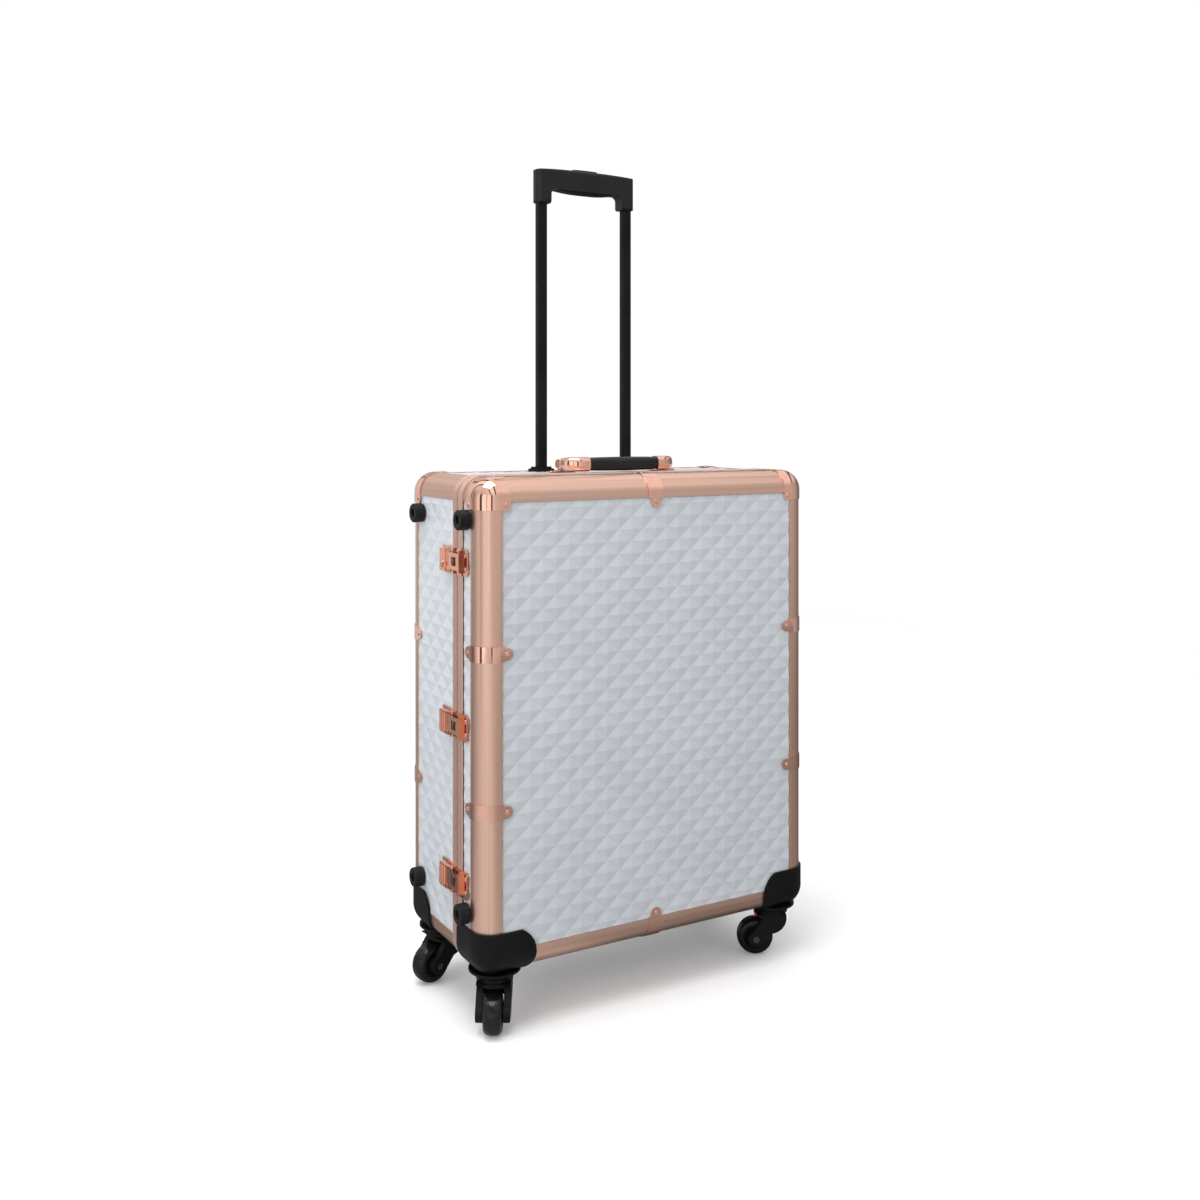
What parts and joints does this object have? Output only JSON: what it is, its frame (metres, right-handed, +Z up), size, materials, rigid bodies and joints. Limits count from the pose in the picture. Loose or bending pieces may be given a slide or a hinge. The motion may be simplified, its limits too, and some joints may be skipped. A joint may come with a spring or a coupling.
{
  "type": "rolling hard case with tow handle",
  "caption": "Upright hard case with embossed panels, rounded metal edge rails, latches, a folding carry handle, a telescoping tow handle and swivel casters.",
  "frame": {"origin": "on the floor under the middle of the case body, with all casters standing on the floor", "axes": "+Z up, front (the lid's large face) towards -Y, +X to the right of the front, latches at -X and hinges at +X"},
  "size_m": [0.5595, 0.2706, 1.1875],
  "materials": {
    "board": "raw plywood",
    "skin": "glossy, embossed",
    "rail": "satin anodised, drawn lengthwise",
    "fitting": "polished plating",
    "plastic": "satin",
    "rubber": "matte",
    "tyre": "satin",
    "tube": "satin black anodised",
    "lining": "short pile",
    "steel": "brushed",
    "mirror": "silvered",
    "brake": "moulded red"
  },
  "bodies": {
    "base": {"base_panels": "board", "base_skins": "skin", "base_rails": "rail", "base_rim": "rail", "base_corner_caps": "fitting", "base_rail_bands": "fitting", "base_lining": "lining", "base_shelves": "plastic", "base_feet": "rubber", "base_caster_brackets": "plastic", "base_hinge_leaves": "fitting", "sleeve_cover": "plastic", "latch_bases": "fitting", "latch_pins": "steel", "hinge_pins": "steel", "tow_sleeves": "steel", "tow_flanges": "plastic", "carry_brackets": "fitting", "carry_pins": "fitting"},
    "lid": {"lid_panels": "board", "lid_skins": "skin", "lid_rails": "rail", "lid_rim": "rail", "lid_corner_caps": "fitting", "lid_rail_bands": "fitting", "lid_lining": "lining", "lid_mirror": "mirror", "lid_mirror_frame": "plastic", "lid_feet": "rubber", "lid_caster_brackets": "plastic", "lid_hinge_leaves": "fitting", "latch_catches": "fitting"},
    "tow_handle": {"tow_tubes": "tube", "tow_grip": "plastic", "tow_palm_insert": "rubber"},
    "release_button": {"release_button": "plastic"},
    "carry_handle": {"carry_ends": "fitting", "carry_core": "steel", "carry_grip": "rubber"},
    "key": {"key_cylinder": "steel"},
    "brake": {"brake_tab": "brake"},
    "lever_1": {"latch_lever_1": "fitting"},
    "claw_1": {"latch_claw_1": "fitting"},
    "lever_2": {"latch_lever_2": "fitting"},
    "claw_2": {"latch_claw_2": "fitting"},
    "lever_3": {"latch_lever_3": "fitting"},
    "claw_3": {"latch_claw_3": "fitting"},
    "swivel_fl": {"caster_fork_fl": "plastic", "caster_axle_fl": "steel"},
    "wheel_fl": {"caster_wheel_fl": "tyre"},
    "swivel_fr": {"caster_fork_fr": "plastic", "caster_axle_fr": "steel"},
    "wheel_fr": {"caster_wheel_fr": "tyre"},
    "swivel_rl": {"caster_fork_rl": "plastic", "caster_axle_rl": "steel"},
    "wheel_rl": {"caster_wheel_rl": "tyre"},
    "swivel_rr": {"caster_fork_rr": "plastic", "caster_axle_rr": "steel"},
    "wheel_rr": {"caster_wheel_rr": "tyre"}
  },
  "joints": [
    {"name": "lid_swing", "type": "hinge", "parent": "base", "child": "lid", "pos_m": [0.2731, -0.053, 0.404], "axis": [0, 0, 1], "range_deg": [0, 110]},
    {"name": "tow_slide", "type": "slide", "parent": "base", "child": "tow_handle", "axis": [0, 0, 1], "range_m": [-0.39, 0]},
    {"name": "button_press", "type": "slide", "parent": "tow_handle", "child": "release_button", "axis": [0, 0, -1], "range_m": [0, 0.0035], "stiffness_N_per_m": 400, "springref_m": -0.002},
    {"name": "carry_swing", "type": "hinge", "parent": "base", "child": "carry_handle", "pos_m": [0, -0.004, 0.7416], "axis": [-1, 0, 0], "range_deg": [0, 90]},
    {"name": "lever_1_swing", "type": "hinge", "parent": "base", "child": "lever_1", "pos_m": [-0.2729, -0.044, 0.189], "axis": [0, 0, 1], "range_deg": [0, 95]},
    {"name": "claw_1_turn", "type": "hinge", "parent": "lever_1", "child": "claw_1", "pos_m": [-0.2732, -0.036, 0.189], "axis": [0, 0, 1], "range_deg": [-95, 0]},
    {"name": "lever_2_swing", "type": "hinge", "parent": "base", "child": "lever_2", "pos_m": [-0.2729, -0.044, 0.397], "axis": [0, 0, 1], "range_deg": [0, 95]},
    {"name": "claw_2_turn", "type": "hinge", "parent": "lever_2", "child": "claw_2", "pos_m": [-0.2732, -0.036, 0.397], "axis": [0, 0, 1], "range_deg": [-95, 0]},
    {"name": "lever_3_swing", "type": "hinge", "parent": "base", "child": "lever_3", "pos_m": [-0.2729, -0.044, 0.616], "axis": [0, 0, 1], "range_deg": [0, 95]},
    {"name": "claw_3_turn", "type": "hinge", "parent": "lever_3", "child": "claw_3", "pos_m": [-0.2732, -0.036, 0.616], "axis": [0, 0, 1], "range_deg": [-95, 0]},
    {"name": "key_turn", "type": "hinge", "parent": "lever_3", "child": "key", "pos_m": [-0.277, -0.019, 0.61], "axis": [-1, 0, 0], "range_deg": [0, 90]},
    {"name": "swivel_fl_turn", "type": "hinge", "parent": "lid", "child": "swivel_fl", "pos_m": [-0.23, -0.086, 0.061], "axis": [0, 0, 1], "continuous": true},
    {"name": "wheel_fl_spin", "type": "hinge", "parent": "swivel_fl", "child": "wheel_fl", "pos_m": [-0.242, -0.10679, 0.027], "axis": [0.866, -0.5, 0], "continuous": true},
    {"name": "swivel_fr_turn", "type": "hinge", "parent": "lid", "child": "swivel_fr", "pos_m": [0.23, -0.086, 0.061], "axis": [0, 0, 1], "continuous": true},
    {"name": "wheel_fr_spin", "type": "hinge", "parent": "swivel_fr", "child": "wheel_fr", "pos_m": [0.20922, -0.074, 0.027], "axis": [-0.5, -0.866, 0], "continuous": true},
    {"name": "swivel_rl_turn", "type": "hinge", "parent": "base", "child": "swivel_rl", "pos_m": [-0.23, 0.086, 0.061], "axis": [0, 0, 1], "continuous": true},
    {"name": "wheel_rl_spin", "type": "hinge", "parent": "swivel_rl", "child": "wheel_rl", "pos_m": [-0.25318, 0.07979, 0.027], "axis": [0.2588, -0.9659, 0], "continuous": true},
    {"name": "swivel_rr_turn", "type": "hinge", "parent": "base", "child": "swivel_rr", "pos_m": [0.23, 0.086, 0.061], "axis": [0, 0, 1], "continuous": true},
    {"name": "wheel_rr_spin", "type": "hinge", "parent": "swivel_rr", "child": "wheel_rr", "pos_m": [0.23, 0.11, 0.027], "axis": [-1, 0, 0], "continuous": true},
    {"name": "brake_press", "type": "hinge", "parent": "swivel_fr", "child": "brake", "pos_m": [0.22004, -0.08025, 0.0568], "axis": [-0.5, -0.866, 0], "range_deg": [0, 15]}
  ],
  "couplings": [
    {"joint": "claw_1_turn", "follows": "lever_1_swing", "ratio": -1},
    {"joint": "claw_2_turn", "follows": "lever_2_swing", "ratio": -1},
    {"joint": "claw_3_turn", "follows": "lever_3_swing", "ratio": -1}
  ]
}
